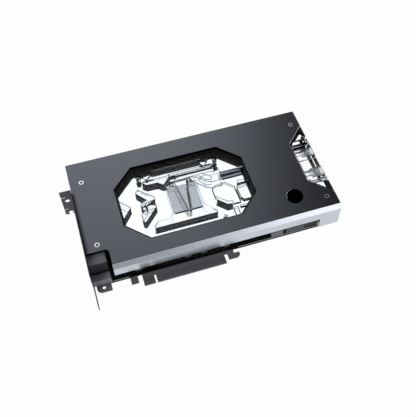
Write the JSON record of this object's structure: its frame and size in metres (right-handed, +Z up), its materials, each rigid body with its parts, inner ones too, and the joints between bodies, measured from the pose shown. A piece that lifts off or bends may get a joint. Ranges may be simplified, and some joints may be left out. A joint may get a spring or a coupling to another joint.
{
  "type": "gpu water block",
  "caption": "Full-cover water block on a graphics card: dark cover plate with an eight-sided window, clear flow plate over a nickel cold plate, clear terminal with threaded ports, slot bracket.",
  "frame": {"origin": "on the underside of the backplate, straight below the centre of the cover's window", "axes": "+X from the slot bracket to the port end, +Y from the edge connector to the far side, +Z up through the cover"},
  "size_m": [0.2697, 0.1586, 0.0399],
  "materials": {
    "cover_anodised": "dark anodised, satin",
    "badge_black": "black, bright rim",
    "band_polished": "brushed and clear anodised",
    "clear_acrylic": "polished clear acrylic",
    "nickel": "nickel plate on copper, mirror",
    "seal_rubber": "matte",
    "black_acetal": "machined, satin",
    "board_laminate": "dark solder mask, semi-matte",
    "bracket_steel": "dark nickel, satin",
    "connector_black": "moulded",
    "connector_shell": "pressed steel shell",
    "package_green": "laminate",
    "die_silicon": "polished silicon",
    "paste_grey": "paste",
    "chip_black": "moulded",
    "pad_grey": "soft pad",
    "choke_grey": "pressed powder, matte",
    "capacitor_can": "bright can",
    "screw_steel": "bright plated",
    "screw_black": "black oxide",
    "backplate_black": "black anodised, satin"
  },
  "bodies": {
    "root": {"cover_plate": "cover_anodised", "badge": "badge_black", "side_band": "band_polished", "flow_plate": "clear_acrylic", "terminal_block": "clear_acrylic", "cold_plate": "nickel", "main_seal": "seal_rubber", "port_seals": "seal_rubber", "end_frame": "black_acetal", "circuit_board": "board_laminate", "io_bracket": "bracket_steel", "stacked_connector": "connector_black", "low_connector": "connector_shell", "display_connector_1": "connector_shell", "display_connector_2": "connector_shell", "gpu_package": "package_green", "gpu_die": "die_silicon", "thermal_paste": "paste_grey", "memory_chips": "chip_black", "memory_pads": "pad_grey", "chokes": "choke_grey", "choke_pads": "pad_grey", "power_stages": "chip_black", "stage_pads": "pad_grey", "capacitors": "capacitor_can", "edge_inductors": "choke_grey", "power_socket_1": "connector_black", "power_socket_2": "connector_black", "standoffs": "screw_steel", "cover_screws": "screw_steel", "flow_screws": "screw_steel", "terminal_bolts": "screw_black", "backplate": "backplate_black", "backplate_pads": "pad_grey", "backplate_screws": "screw_black"}
  },
  "joints": []
}
